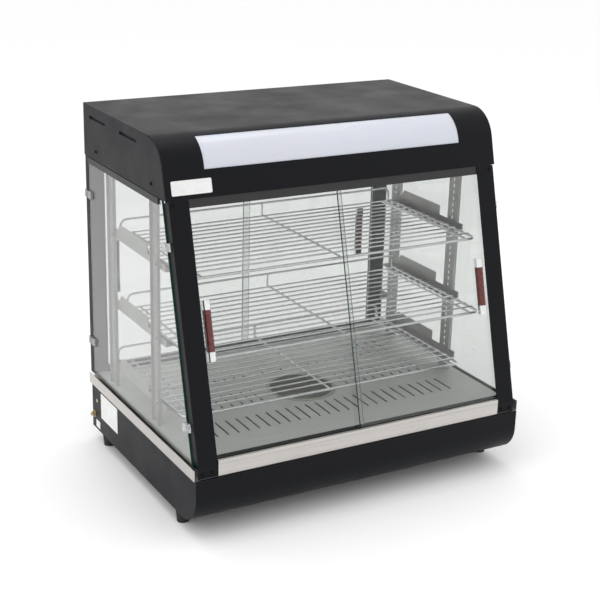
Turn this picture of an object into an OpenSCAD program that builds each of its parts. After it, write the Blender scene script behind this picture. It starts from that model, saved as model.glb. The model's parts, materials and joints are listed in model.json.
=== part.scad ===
// Heated countertop food display case: a base with heaters under a slotted deck, a glazed food
// chamber with three wire shelves, sliding doors at front and rear, and a lit canopy.
// +X is to the customer's right, +Y to the back and +Z up. The origin is on the bench, mid-width
// and mid-depth.

/* [Overall] */
// Width over the stainless side trims
overall_w = 660; // [560:5:900]
// Depth from the base's front face to the canopy's back
overall_d = 482; // [440:2:580]
// Height from the bench to the canopy's top
overall_h = 652; // [620:2:780]
// Lean of the front glass and posts from upright, in degrees
front_lean = 15; // [8:0.5:18]

/* [Base] */
// Height of the feet
foot_h = 25; // [12:1:40]
// Height of the painted base box
base_h = 88; // [80:1:110]
// Radius of the base's lower front edge
base_edge_r = 54; // [30:1:60]
// Thickness of the painted and stainless sheet
sheet = 1.2; // [1:0.1:1.6]
// Height of the stainless trim band around the deck
trim_h = 20; // [16:1:26]
// Radius of the water pan
pan_r = 60; // [40:1:65]
// Depth of the water pan
pan_depth = 38; // [20:1:45]

/* [Canopy] */
// Height of the canopy's side
canopy_h = 95; // [85:1:120]
// Radius of the canopy's curved front edge
canopy_r = 60; // [40:1:66]
// Width of the lit panel's window
window_w = 504; // [300:2:520]
// Length of the lamp tube
lamp_l = 452; // [250:2:460]

/* [Glass] */
// Thickness of every pane
glass_t = 4; // [3:0.5:5]
// Overlap of the two doors at the middle
door_overlap = 11; // [8:1:30]
// Length of a door handle
handle_l = 102; // [60:1:140]

/* [Shelves] */
// Depth of a wire shelf
shelf_d = 302; // [240:1:306]
// Distance between cross wires
wire_pitch = 21.5; // [15:0.5:30]
// Height of the guard wire behind the food
guard_h = 24; // [12:1:40]
// Distance between slots in the uprights
slot_pitch = 12.2; // [10:0.1:16]

/* [Hidden] */
$fn = 48;

// Colours
black = "#2b2c30";
dark_grey = "#3c3d40";
steel = "#c8c6c0";
clear = "#9fc4bd80";

// Clearances: eps joins pieces of one solid, past runs a cut through a face, loose is left
// around fixed pieces and rest_gap under pieces that only lie in place
eps = 0.01;
past = 1;
loose = 0.3;
rest_gap = 0.05;

// Levels
base_top_z = foot_h + base_h;
plane_z = base_top_z + trim_h;
deck_z = plane_z - 1;
canopy_z = overall_h - canopy_h;

// Depth stations: the front plane holds the outer faces of the posts and the canopy's front
front_y = -overall_d / 2;
back_y = overall_d / 2;
base_back_y = back_y - 14;
plane_y = front_y + 4;

function front_plane_y(z) = plane_y + (z - plane_z) * tan(front_lean);
function along_front(z) = (z - plane_z) / cos(front_lean);

// Widths, from the outside in
trim_x = overall_w / 2;
base_x = trim_x - 2;
inside_x = base_x - sheet;
canopy_x = trim_x - 4.5;
glass_x = trim_x - 6;
glass_in_x = glass_x - glass_t;
trim_wall_x = glass_in_x - 2 * loose;
deck_x = trim_wall_x - sheet;
post_x = glass_x - 2.5;
post_w = 36;
post_t = 1.5;
post_return = 18;
opening_x = post_x - post_w;

// ---------- Helpers ----------

// Extrudes a profile drawn in depth and height from one x to another
module between(x0, x1) {
    translate([(x0 + x1) / 2, 0, 0])
        rotate([90, 0, 90])
            linear_extrude(abs(x1 - x0), center = true)
                children();
}

// Extrudes a profile drawn in depth and height across the width
module across(width) {
    between(-width / 2, width / 2)
        children();
}

// Moves to the front plane: z runs up the slope and y runs square into the case
module on_front() {
    translate([0, plane_y, plane_z])
        rotate([-front_lean, 0, 0])
            children();
}

// Makes the children and their mirror image on the other side of the case
module both_sides() {
    children();
    mirror([1, 0, 0])
        children();
}

// Mirrors the children to the left where side is -1, and leaves them where it is 1
module on_side(side) {
    if (side < 0)
        mirror([1, 0, 0])
            children();
    else
        children();
}

// A box and a rectangle given by opposite corners
module box_between(low, high) {
    translate(low)
        cube(high - low);
}

module square_between(low, high) {
    translate(low)
        square(high - low);
}

// Round rods along the width and along the depth
module rod_x(x0, x1, y, z, d) {
    translate([x0, y, z])
        rotate([0, 90, 0])
            cylinder(d = d, h = x1 - x0);
}

module rod_y(x, y0, y1, z, d) {
    translate([x, y0, z])
        rotate([-90, 0, 0])
            cylinder(d = d, h = y1 - y0);
}

// A hexagonal nut whose axis is the children's frame's z
module hex_nut(r, t) {
    cylinder(r = r, h = t, $fn = 6);
}

// ---------- Base ----------

// Side view of the base box, moved in by inset and past its top and back by extra
module base_profile(inset = 0, extra = 0) {
    corner_y = front_y + base_edge_r;
    corner_z = foot_h + base_edge_r;
    top = base_top_z + extra;
    back = base_back_y - sheet + extra;
    intersection() {
        translate([corner_y, corner_z])
            circle(base_edge_r - inset, $fn = 96);
        square_between([front_y, foot_h], [corner_y, corner_z]);
    }
    polygon([
        [corner_y, foot_h + inset],
        [back, foot_h + inset],
        [back, top],
        [front_y + inset, top],
        [front_y + inset, corner_z]]);
}

base_lip = 10;

// Front, curved edge and floor of the base, bent from one sheet with a lip along its top
module base_front_panel() {
    color(black)
        across(2 * inside_x) {
            difference() {
                base_profile();
                base_profile(sheet, past);
            }
            square_between([front_y + sheet / 2, base_top_z - sheet],
                [front_y + sheet / 2 + base_lip, base_top_z]);
        }
}

earth_y = base_back_y - 10;
earth_z = foot_h + 28;
earth_stud_d = 6;
side_screw_y = base_back_y - 27;
side_screw_z = base_top_z - 27;
side_screw_d = 4;

// A side of the base; the left one, where side is -1, has the earth terminal's holes
module base_side(side) {
    color(dark_grey)
        difference() {
            between(side * inside_x, side * base_x)
                base_profile();
            if (side < 0) {
                rod_x(-base_x - past, -inside_x + past, earth_y, earth_z, earth_stud_d + loose);
                rod_x(-base_x - past, -inside_x + past, side_screw_y, side_screw_z,
                    side_screw_d + loose);
            }
        }
}

// Controls and vents on the rear panel
control_z = foot_h + base_h / 2 + 4;
knob_x = -190;
indicator_x = -150;
power_switch_x = -110;
lamp_switch_x = -60;
knob_shaft_d = 6;
shaft_hole_gap = 1;
indicator_d = 10;
switch_cut_w = 22;
switch_cut_h = 28;
gland_x = 200;
gland_z = foot_h + 24;
gland_thread_d = 16;
vent_pitch = 14;
vent_w = 4;
base_vent_x = 20;
base_vent_n = 9;
base_vent_h = 32;

// Cuts a row of upright vents with round ends through a rear panel
module vent_row(x0, count, y, z, height) {
    for (i = [0 : count - 1]) {
        x = x0 + i * vent_pitch;
        box_between([x - vent_w / 2, y - past, z - height / 2],
            [x + vent_w / 2, y + sheet + past, z + height / 2]);
        for (end = [-1, 1])
            rod_y(x, y - past, y + sheet + past, z + end * height / 2, vent_w);
    }
}

module base_rear_panel() {
    y0 = base_back_y - sheet;
    cut_y0 = y0 - past;
    cut_y1 = base_back_y + past;
    color(black)
        difference() {
            box_between([-base_x, y0, foot_h], [base_x, base_back_y, base_top_z]);
            rod_y(knob_x, cut_y0, cut_y1, control_z, knob_shaft_d + shaft_hole_gap);
            rod_y(indicator_x, cut_y0, cut_y1, control_z, indicator_d + loose);
            rod_y(gland_x, cut_y0, cut_y1, gland_z, gland_thread_d + loose);
            for (x = [power_switch_x, lamp_switch_x])
                box_between([x - switch_cut_w / 2, cut_y0, control_z - switch_cut_h / 2],
                    [x + switch_cut_w / 2, cut_y1, control_z + switch_cut_h / 2]);
            vent_row(base_vent_x, base_vent_n, y0, control_z, base_vent_h);
        }
}

foot_inset_x = 15;
foot_front_y = front_y + 84;
foot_rear_y = base_back_y - 46;
foot_top_r = 13;
foot_low_r = 10.5;

module feet() {
    color("#18181a")
        for (x = [-1, 1], y = [foot_front_y, foot_rear_y])
            translate([x * (base_x - foot_inset_x), y, 0])
                cylinder(r1 = foot_low_r, r2 = foot_top_r, h = foot_h);
}

// ---------- Deck and trims ----------

deck_front_y = front_plane_y(deck_z) + (post_t + eps) / cos(front_lean);
deck_back_y = back_y - 3;

// Louvres stand in columns at odd multiples of half their pitch from the middle
louvre_columns = 26;
louvre_margin = 66.1;
louvre_pitch = (overall_w - 2 * louvre_margin) / louvre_columns;
louvre_w = 4.5;
long_louvre_l = 57;
long_louvre_y = front_y + 134.5;
short_louvre_l = 13;
short_row_pitch = 20.5;
middle_row_y = -2.5;
last_column = louvre_columns - 1;
middle_from_column = 9;
corner_from_column = 21;
rear_row_y = 87;
corner_row_pitch = 24.5;

module louvre_cut(column, y, length) {
    x = column * louvre_pitch / 2;
    box_between([x - louvre_w, y - length / 2, deck_z - 2 * sheet],
        [x, y + length / 2, deck_z + past]);
}

pan_y = -4;
pan_gap = 0.6;
post_screw_d = 3;
post_screw_x = [opening_x + 9.5, opening_x + 28];
low_screw_z = base_top_z + 9;
top_screw_z = canopy_z - 7;

module deck_louvres() {
    for (c = [-last_column : 2 : last_column]) {
        louvre_cut(c, long_louvre_y, long_louvre_l);
        louvre_cut(c, rear_row_y, short_louvre_l);
    }
    for (side = [-1, 1], c = [middle_from_column : 2 : last_column], row = [-1 : 1])
        louvre_cut(side * c, middle_row_y + row * short_row_pitch, short_louvre_l);
    for (side = [-1, 1], c = [corner_from_column : 2 : last_column], row = [1, 2])
        louvre_cut(side * c, rear_row_y + row * corner_row_pitch, short_louvre_l);
}

// The deck is a shallow tray turned over; behind the base it is closed from below
module deck_plate() {
    low = base_top_z;
    top = deck_z - sheet;
    x = deck_x - sheet;
    y0 = deck_front_y + sheet;
    color("#a4a8a6")
        difference() {
            box_between([-deck_x, deck_front_y, low], [deck_x, deck_back_y, deck_z]);
            box_between([-x, y0, low - past], [x, base_back_y - sheet, top]);
            box_between([-x, y0, low + sheet], [x, deck_back_y - sheet, top]);
            deck_louvres();
            translate([0, pan_y, deck_z - 2 * sheet])
                cylinder(r = pan_r + pan_gap, h = 3 * sheet, $fn = 96);
            for (side = [-1, 1], x = post_screw_x)
                rod_y(side * x, deck_front_y - past, y0 + past, low_screw_z,
                    post_screw_d + loose);
        }
}

trim_front_y = plane_y - 1.5;

// The side trims are channels that hold the lower edge of the side glass
module side_trim() {
    y1 = back_y - 6.5;
    color(steel) {
        box_between([trim_x - sheet, trim_front_y, base_top_z], [trim_x, y1, plane_z]);
        box_between([deck_x, trim_front_y, base_top_z], [trim_x, y1, base_top_z + sheet]);
        box_between([deck_x, plane_y + 2, base_top_z], [trim_wall_x, y1, deck_z - 1]);
    }
}

track_h = 9;
rear_track_h = 10;
trim_seam_z = plane_z + 2.5;
seam_w = 0.9;
seam_deep = 0.4;
front_trim_h = track_h + 0.5;
front_trim_rise = 1;
front_trim_flange = 5;

// Stainless band between the posts: a channel over the deck's front edge, with a seam in it
module front_trim() {
    y = plane_y - sheet;
    low = base_top_z + front_trim_rise;
    top = plane_z + front_trim_h;
    color(steel)
        across(2 * (opening_x - loose))
            difference() {
                union() {
                    square_between([y, low], [y + sheet, top]);
                    square_between([y, low], [deck_front_y, low + sheet]);
                    square_between([y, top - sheet], [y + front_trim_flange, top]);
                }
                square_between([y - past, trim_seam_z], [y + seam_deep, trim_seam_z + seam_w]);
            }
}

// ---------- Sliding door tracks ----------

groove_gap = 0.5;
track_floor = 2;
outer_pane_d = 5;
inner_pane_d = 13;
front_track_x = post_x - 3;
track_front_d = 3;
track_back_d = 20;

// Distance up the slope at which a front pane's back edge is clear of the lower track's floor
function front_pane_low(d) =
    (deck_z + track_floor + loose - plane_z + (d + glass_t) * sin(front_lean)) / cos(front_lean);

module front_groove(d, s0, s1) {
    on_front()
        box_between([-trim_x, d - groove_gap, s0], [trim_x, d + glass_t + groove_gap, s1]);
}

module front_lower_track() {
    y0 = front_plane_y(deck_z) + track_front_d;
    y1 = front_plane_y(deck_z) + track_back_d + track_front_d;
    color(black)
        difference() {
            box_between([-front_track_x, y0, deck_z], [front_track_x, y1, deck_z + track_h]);
            for (d = [outer_pane_d, inner_pane_d])
                front_groove(d, front_pane_low(d) - loose, 3 * track_h);
            on_front()
                box_between([-trim_x, -track_back_d, -track_back_d],
                    [trim_x, post_t + loose, 3 * track_h]);
        }
}

header_drop = 14;
header_h = 28;
door_lap = 10;
groove_room = 8;
door_top_z = canopy_z - header_drop;
door_top_s = along_front(door_top_z) + door_lap;

// A screw hole square to the front plane, at a height
module front_screw_hole(z) {
    on_front()
        translate([0, -past, along_front(z)])
            rotate([-90, 0, 0])
                cylinder(d = post_screw_d + loose, h = track_back_d);
}

module front_upper_track() {
    s0 = along_front(door_top_z);
    color(black)
        difference() {
            on_front()
                box_between([-front_track_x, post_t, s0],
                    [front_track_x, track_back_d, s0 + header_h]);
            for (d = [outer_pane_d, inner_pane_d])
                front_groove(d, s0 - past, door_top_s + groove_room);
            for (side = [-1, 1])
                translate([side * post_screw_x[1], 0, 0])
                    front_screw_hole(top_screw_z);
        }
}

rear_post_y = back_y - 15;
rear_inner_y = back_y - 16.5;
rear_outer_y = back_y - 10;
rear_opening_x = glass_x - 31;
rear_track_y0 = rear_inner_y - 2.5;
rear_track_y1 = back_y - 3;
rear_header_h = 23;

module rear_groove(y, z0, z1) {
    box_between([-trim_x, y - groove_gap, z0], [trim_x, y + glass_t + groove_gap, z1]);
}

module rear_lower_track() {
    color(black)
        difference() {
            box_between([-rear_opening_x, rear_track_y0, deck_z],
                [rear_opening_x, rear_track_y1, deck_z + rear_track_h]);
            for (y = [rear_inner_y, rear_outer_y])
                rear_groove(y, deck_z + track_floor, deck_z + 2 * rear_track_h);
        }
}

module rear_upper_track() {
    color(black)
        difference() {
            box_between([-rear_opening_x, rear_track_y0, door_top_z],
                [rear_opening_x, rear_track_y1, door_top_z + rear_header_h]);
            for (y = [rear_inner_y, rear_outer_y])
                rear_groove(y, door_top_z - past, door_top_z + door_lap + groove_room);
        }
}

// ---------- Posts and side glass ----------

// Side view of a front post's face: it follows the front plane down to a vertical foot that
// lies against the deck's front edge
module post_strip() {
    low_z = base_top_z + sheet + loose;
    top_z = canopy_z - 1;
    foot_y = deck_front_y - post_t;
    deep_y = post_t / cos(front_lean);
    bend_z = plane_z + (foot_y - plane_y) / tan(front_lean);
    inner_bend_z = plane_z + (deck_front_y - deep_y - plane_y) / tan(front_lean);
    polygon([
        [foot_y, low_z],
        [foot_y, bend_z],
        [front_plane_y(top_z), top_z],
        [front_plane_y(top_z) + deep_y, top_z],
        [deck_front_y, inner_bend_z],
        [deck_front_y, low_z]]);
}

module front_post(side) {
    color(black)
        on_side(side)
            difference() {
                union() {
                    between(opening_x, post_x)
                        post_strip();
                    on_front()
                        box_between([post_x - post_t, post_t / 2, along_front(plane_z + 1)],
                            [post_x, post_return, along_front(canopy_z) - 2]);
                }
                for (x = post_screw_x)
                    rod_y(x, front_y, deck_front_y + past, low_screw_z, post_screw_d + loose);
                translate([post_screw_x[1], 0, 0])
                    front_screw_hole(top_screw_z);
            }
}

module rear_posts() {
    color(dark_grey)
        both_sides()
            difference() {
                box_between([rear_opening_x, rear_post_y, deck_z],
                    [glass_x, back_y, canopy_z]);
                box_between([rear_opening_x + post_t, rear_post_y + post_t, deck_z - past],
                    [glass_x - post_t, back_y - post_t, canopy_z + past]);
            }
}

edge_gap = 2;
glass_front_d = post_return + edge_gap;
glass_rear_y = rear_post_y - edge_gap;
glass_low_z = base_top_z + sheet + loose;
glass_top_z = canopy_z - 3;

module side_glass(side) {
    step = glass_front_d / cos(front_lean);
    color(clear)
        between(side * glass_in_x, side * glass_x)
            polygon([
                [front_plane_y(glass_low_z) + step, glass_low_z],
                [front_plane_y(glass_top_z) + step, glass_top_z],
                [glass_rear_y, glass_top_z],
                [glass_rear_y, glass_low_z]]);
}

clip_h = 14;
clip_t = 3.5;
clip_reach = 14;
clip_levels = [base_top_z + 86, canopy_z - 71];

// A clear clip seen from above: the glass's upright edge is at y = 0, the clip wraps it, fills
// the gap to the post and reaches over the post
module clip_shape() {
    in_x = glass_in_x - clip_t;
    out_x = glass_x + clip_t;
    square_between([glass_x, -clip_reach], [out_x, clip_reach]);
    square_between([in_x, -edge_gap], [glass_in_x, clip_reach]);
    square_between([in_x, -edge_gap], [out_x, 0]);
}

module glass_clips() {
    color("#e8eeee90")
        both_sides()
            for (z = clip_levels) {
                on_front()
                    translate([0, glass_front_d, along_front(z) - clip_h / 2])
                        linear_extrude(clip_h)
                            clip_shape();
                translate([0, glass_rear_y, z - clip_h / 2])
                    linear_extrude(clip_h)
                        mirror([0, 1, 0])
                            clip_shape();
            }
}

rail_front_step = 32;
rail_h = 11;

// Channels over the top edge of the side glass
module glass_top_rails() {
    out_x = glass_x + 2 * loose;
    cap_z = glass_top_z + loose;
    y0 = front_plane_y(canopy_z) + rail_front_step;
    y1 = glass_rear_y + 1;
    color(dark_grey)
        both_sides() {
            box_between([out_x, y0, cap_z + sheet - rail_h], [out_x + sheet, y1, cap_z + sheet]);
            box_between([deck_x, y0, cap_z + sheet - rail_h], [trim_wall_x, y1, canopy_z]);
            box_between([deck_x, y0, cap_z], [out_x + sheet, y1, cap_z + sheet]);
        }
}

// ---------- Canopy ----------

curve_z = overall_h - canopy_r;
curve_y = front_plane_y(curve_z) + canopy_r / cos(front_lean);

// Side view of the canopy, moved in by inset and past its back and bottom by extra. The curve and
// the flat front are drawn in the front plane's own frame, so that one ends where the other starts
module canopy_profile(inset = 0, extra = 0) {
    r = canopy_r - inset;
    reach = 2 * canopy_h;
    intersection() {
        square_between([front_y, canopy_z - extra], [back_y + extra, overall_h + past]);
        translate([curve_y, curve_z]) {
            rotate(-front_lean) {
                circle(r, $fn = 128);
                square_between([-r, -reach], [reach, 0]);
            }
            square_between([0, -reach], [overall_d, r]);
        }
    }
}

window_top_angle = 20;
window_low_z = curve_z + 9;

// Side view of the wedge of canopy that the lit window takes up, widened by lap
module window_wedge(lap = 0) {
    reach = 2 * canopy_r;
    cut = canopy_r / 2;
    top = window_top_angle - lap / canopy_r * 180 / PI;
    low_z = window_low_z - lap;
    low_y = front_plane_y(low_z);
    polygon([
        [curve_y, curve_z],
        [curve_y - reach * sin(top), curve_z + reach * cos(top)],
        [curve_y - reach, curve_z + reach],
        [low_y - cut * cos(front_lean), low_z + cut * sin(front_lean)],
        [low_y + cut * cos(front_lean), low_z - cut * sin(front_lean)]]);
}

module canopy_cover() {
    color(black)
        difference() {
            across(2 * canopy_x)
                difference() {
                    canopy_profile();
                    canopy_profile(sheet, past);
                }
            across(window_w)
                window_wedge();
        }
}

side_gap = 1.5;
canopy_screw_ys = [back_y - 57, front_plane_y(canopy_z) + 60];
canopy_screw_z = canopy_z + 16;
side_louvre_l = 76;
side_louvre_h = 6;
side_louvre_z = overall_h - 21;
side_louvre_ys = [back_y - 67, back_y - 208];

// Cuts a flat slot with round ends through the canopy's sides
module side_louvre(y) {
    half = (side_louvre_l - side_louvre_h) / 2;
    for (end = [-1, 1])
        rod_x(-trim_x, trim_x, y + end * half, side_louvre_z, side_louvre_h);
    box_between([-trim_x, y - half, side_louvre_z - side_louvre_h / 2],
        [trim_x, y + half, side_louvre_z + side_louvre_h / 2]);
}

module canopy_screw_holes() {
    for (y = canopy_screw_ys)
        rod_x(-trim_x, trim_x, y, canopy_screw_z, post_screw_d + loose);
}

// A canopy side sits inside the cover, with a gap along the curved front
module canopy_side(side) {
    color(dark_grey)
        difference() {
            between(side * (canopy_x - sheet), side * canopy_x) {
                intersection() {
                    canopy_profile(sheet + side_gap);
                    square_between([front_y, 0], [curve_y + eps, overall_h]);
                }
                intersection() {
                    canopy_profile(sheet);
                    square_between([curve_y, 0], [back_y - sheet, overall_h]);
                }
            }
            for (y = side_louvre_ys)
                side_louvre(y);
            canopy_screw_holes();
        }
}

canopy_vent_n = 11;
canopy_vent_h = 30;
canopy_vent_z = canopy_z + 50;

module canopy_rear_panel() {
    y0 = back_y - sheet;
    color(black)
        difference() {
            box_between([-canopy_x, y0, canopy_z], [canopy_x, back_y, overall_h - sheet]);
            vent_row(-(canopy_vent_n - 1) * vent_pitch / 2, canopy_vent_n, y0, canopy_vent_z,
                canopy_vent_h);
        }
}

ceiling_flange = 26;

module canopy_ceiling() {
    x = canopy_x - sheet;
    y0 = front_plane_y(canopy_z + sheet) + track_back_d / cos(front_lean) + eps;
    y1 = rear_track_y0;
    color(steel)
        difference() {
            box_between([-x, y0, canopy_z], [x, y1, canopy_z + ceiling_flange]);
            box_between([-x + sheet, y0 - past, canopy_z + sheet],
                [x - sheet, y1 + past, canopy_z + ceiling_flange + past]);
            canopy_screw_holes();
        }
}

panel_t = 2.5;
panel_lap = 6;

module light_panel() {
    inset = sheet + rest_gap;
    color("#e6e8f2")
        across(window_w + 2 * panel_lap)
            intersection() {
                difference() {
                    canopy_profile(inset);
                    canopy_profile(inset + panel_t, past);
                }
                window_wedge(panel_lap);
            }
}

lamp_d = 26;
lamp_y = curve_y - 8;
lamp_z = curve_z + 2;
lamp_cap_l = 14;

module lamp_tube() {
    half = lamp_l / 2;
    color("#f4f4ee") {
        rod_x(-half, half, lamp_y, lamp_z, lamp_d);
        for (side = [-1, 1])
            rod_x(side * half - lamp_cap_l / 2, side * half + lamp_cap_l / 2, lamp_y, lamp_z,
                lamp_d + 1);
    }
}

holder_t = 12;
holder_w = 22;

module lamp_holders() {
    x0 = lamp_l / 2 + lamp_cap_l / 2;
    color("#eeeeea")
        both_sides()
            box_between([x0, lamp_y - holder_w / 2, canopy_z + sheet],
                [x0 + holder_t, lamp_y + holder_w / 2, lamp_z + lamp_d / 2]);
}

nameplate_w = 72;
nameplate_h = 24;
nameplate_r = 2.5;
nameplate_t = 0.8;
nameplate_x = -canopy_x + 11.5;
nameplate_z = canopy_z + 7;

// A flat plate with round corners, drawn in its own plane
module rounded_plate(w, h, r, t) {
    linear_extrude(t) {
        square_between([r, 0], [w - r, h]);
        square_between([0, r], [w, h - r]);
        for (x = [r, w - r], y = [r, h - r])
            translate([x, y])
                circle(r);
    }
}

module nameplate() {
    color("#e9e9e6")
        on_front()
            translate([nameplate_x, 0, along_front(nameplate_z)])
                rotate([90, 0, 0])
                    rounded_plate(nameplate_w, nameplate_h, nameplate_r, nameplate_t);
}

// ---------- Shelf supports ----------

upright_x = glass_x - 22;
upright_deep = 6;
upright_w = 30;
upright_ys = [-35, 160];
upright_slot_w = 3.2;
upright_slot_h = 6;
first_slot_z = deck_z + 34;
slot_count = floor((canopy_z - 20 - first_slot_z) / slot_pitch);

// A shallow channel with a column of slots, centred on y
module shelf_upright(y) {
    half = upright_w / 2;
    inner = upright_x + sheet;
    outer = upright_x + upright_deep;
    difference() {
        box_between([upright_x, y - half, deck_z], [outer, y + half, canopy_z]);
        box_between([inner, y - half + sheet, deck_z - past],
            [outer + past, y + half - sheet, canopy_z + past]);
        for (i = [0 : slot_count])
            translate([0, 0, first_slot_z + i * slot_pitch])
                box_between([upright_x - past, y - upright_slot_w / 2, 0],
                    [inner + past, y + upright_slot_w / 2, upright_slot_h]);
    }
}

module shelf_uprights() {
    color(steel)
        both_sides()
            for (y = upright_ys)
                shelf_upright(y);
}

bracket_slots = [0, 10, 21];
bracket_t = 1.5;
ledge_w = 21;
bracket_low_h = 12;
bracket_high_h = 30;
bracket_end_h = 18;
bracket_front_y = upright_ys[0] - 36;
bracket_rear_y = upright_ys[1] + 8;
bracket_rise_y = upright_ys[0] + 40;
bracket_fall_y = upright_ys[1] - 32;
bracket_ramp = 10;
hook_t = 2.4;
hook_h = 4;
hook_gap = 0.6;
ledge_drop = 2;

function ledge_z(tier) = first_slot_z + bracket_slots[tier] * slot_pitch - ledge_drop;

// A bent bracket that hooks into two uprights: a plate with a raised middle, and a ledge
module shelf_bracket(tier) {
    x = upright_x;
    z = ledge_z(tier);
    hook_z = z + ledge_drop + hook_gap;
    between(x - bracket_t, x)
        polygon([
            [bracket_front_y, z],
            [bracket_front_y, z + bracket_low_h],
            [bracket_rise_y, z + bracket_low_h],
            [bracket_rise_y, z + bracket_high_h],
            [bracket_fall_y, z + bracket_high_h],
            [bracket_fall_y + bracket_ramp, z + bracket_end_h],
            [bracket_rear_y, z + bracket_end_h],
            [bracket_rear_y, z]]);
    box_between([x - ledge_w, bracket_front_y, z],
        [x - bracket_t + eps, bracket_rear_y, z + bracket_t]);
    for (y = upright_ys)
        box_between([x - eps, y - hook_t / 2, hook_z],
            [x + upright_deep - 2, y + hook_t / 2, hook_z + hook_h]);
}

module shelf_brackets() {
    color(steel)
        both_sides()
            for (tier = [0 : 2])
                shelf_bracket(tier);
}

// ---------- Shelves ----------

frame_d = 5;
side_d = 4;
cross_d = 3;
weld = 0.4;
frame_r = 12;
ladder_w = 20;
shelf_x = upright_x - bracket_t - 12;
shelf_gaps = [99.1, 16.4, 7.45];

// Depth of a shelf's front edge, which keeps its gap to the inner front pane behind the lean
function shelf_front(tier) =
    front_plane_y(ledge_z(tier)) + (inner_pane_d + glass_t) / cos(front_lean) + shelf_gaps[tier];

// A quarter bend of wire in the XY plane, from +X to +Y about the origin
module wire_bend(r, d) {
    rotate_extrude(angle = 90)
        translate([r, 0])
            circle(d = d);
}

// One half of a shelf's frame: side wire, front corner, and the guard's upright and corner. The
// frame's front wire is at y = 0 and its back at y = depth
module shelf_frame_half(x, depth, leg) {
    rod_y(x, frame_r, depth, 0, frame_d);
    translate([x - frame_r, frame_r, 0])
        rotate([0, 0, -90])
            wire_bend(frame_r, frame_d);
    translate([x, depth, 0]) {
        sphere(d = frame_d);
        cylinder(d = side_d, h = leg + eps);
    }
    translate([x - frame_r, depth, leg])
        rotate([90, 0, 0])
            wire_bend(frame_r, side_d);
}

// A wire shelf about its own frame's front wire
module shelf_wires() {
    x = shelf_x - frame_d / 2;
    depth = shelf_d - frame_d;
    corner_x = x - frame_r;
    cross_z = frame_d / 2 + cross_d / 2 - weld;
    under_z = cross_z - cross_d / 2 - side_d / 2 + weld;
    cross_n = floor((depth - 2 * cross_d) / wire_pitch);
    both_sides() {
        shelf_frame_half(x, depth, guard_h - frame_r);
        rod_y(x - ladder_w, 0, depth - wire_pitch / 2, under_z, side_d);
    }
    rod_x(-corner_x, corner_x, 0, 0, frame_d);
    rod_x(-corner_x, corner_x, depth, guard_h, side_d);
    rod_y(0, 0, depth, under_z, side_d);
    translate([0, depth, under_z])
        cylinder(d = side_d, h = guard_h - under_z);
    for (i = [1 : cross_n])
        rod_x(-x, x, i * wire_pitch, cross_z, cross_d);
}

// One wire shelf, standing on its bracket ledges
module wire_shelf(tier) {
    z = ledge_z(tier) + bracket_t + rest_gap + frame_d / 2;
    color("#d5d7d8")
        translate([0, shelf_front(tier) + frame_d / 2, z])
            shelf_wires();
}

// ---------- Doors ----------

front_pane_x = opening_x + 13;
rear_pane_x = rear_opening_x - 1;
pane_lap = door_overlap / 2;

// A front pane for either side, its outer face at distance d into the case
module front_pane(side, d) {
    color(clear)
        on_side(side)
            on_front()
                box_between([-pane_lap, d, front_pane_low(d)],
                    [front_pane_x, d + glass_t, door_top_s]);
}

module rear_pane(side, y) {
    color(clear)
        on_side(side)
            box_between([-pane_lap, y, deck_z + track_floor + loose],
                [rear_pane_x, y + glass_t, door_top_z + door_lap]);
}

grip_w = 13;
grip_deep = 11;
cap_l = 16;
cap_proud = 0.5;
handle_z = base_top_z + 0.528 * (canopy_z - base_top_z);
front_handle_x = opening_x - 14;
rear_left_handle_x = 22 - rear_opening_x;
rear_right_handle_x = rear_opening_x - 28;
rear_handle_z = handle_z - 8;

// Cross-section of a handle: flat on the pane, at y = 0, and round in front
module grip_section(proud = 0) {
    r = grip_w / 2 + proud;
    crown_y = grip_w / 2 - grip_deep;
    intersection() {
        translate([0, crown_y])
            circle(r);
        square_between([-r, crown_y - r], [r, 0]);
    }
    square_between([-r, crown_y], [r, 0]);
}

// The coloured middle of a handle
module grip() {
    color("#7c2622")
        translate([0, 0, cap_l - handle_l / 2])
            linear_extrude(handle_l - 2 * cap_l)
                grip_section();
}

// The two bright ends of a handle
module caps() {
    color("#e4e4e6")
        for (z = [-handle_l / 2, handle_l / 2 - cap_l])
            translate([0, 0, z])
                linear_extrude(cap_l)
                    grip_section(cap_proud);
}

module at_front_handle(side, d) {
    on_front()
        translate([side * front_handle_x, d, along_front(handle_z)])
            children();
}

module at_rear_handle(x, y) {
    translate([x, y + glass_t, rear_handle_z])
        mirror([0, 1, 0])
            children();
}

// ---------- Water pan ----------

pan_wall = 0.8;
pan_rim = 6;
pan_taper = 4;

// A tapered round pan that hangs in the deck by its rim
module water_pan() {
    z0 = deck_z + loose - pan_depth;
    rim_z = deck_z + rest_gap;
    low_r = pan_r - pan_taper;
    color("#9b9c92")
        translate([0, pan_y, 0])
            rotate_extrude($fn = 96) {
                square_between([0, z0], [low_r, z0 + pan_wall]);
                square_between([pan_r - pan_wall, rim_z], [pan_r + pan_rim, rim_z + pan_wall]);
                polygon([
                    [low_r - pan_wall, z0],
                    [low_r, z0],
                    [pan_r, rim_z + pan_wall],
                    [pan_r - pan_wall, rim_z + pan_wall]]);
            }
}

// ---------- Heaters and controls ----------

element_d = 8;
element_bend_r = 30;
element_x = 240;
element_z = deck_z - 22;
element_ys = [front_y + 105, base_back_y - 95];
terminal_l = 20;
terminal_d = 5;

// One heating element: a hairpin of tube with both ends on the left
module heating_element(y) {
    for (side = [-1, 1]) {
        leg_y = y + side * element_bend_r;
        rod_x(-element_x, element_x, leg_y, element_z, element_d);
        rod_x(-element_x - terminal_l, -element_x + eps, leg_y, element_z, terminal_d);
    }
    translate([element_x, y, element_z])
        rotate([0, 0, -90])
            rotate_extrude(angle = 180)
                translate([element_bend_r, 0])
                    circle(d = element_d);
}

module heating_elements() {
    color("#6a5f58")
        for (y = element_ys)
            heating_element(y);
}

hanger_x = 150;
hanger_t = 2;
hanger_edge = 7;

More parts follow.
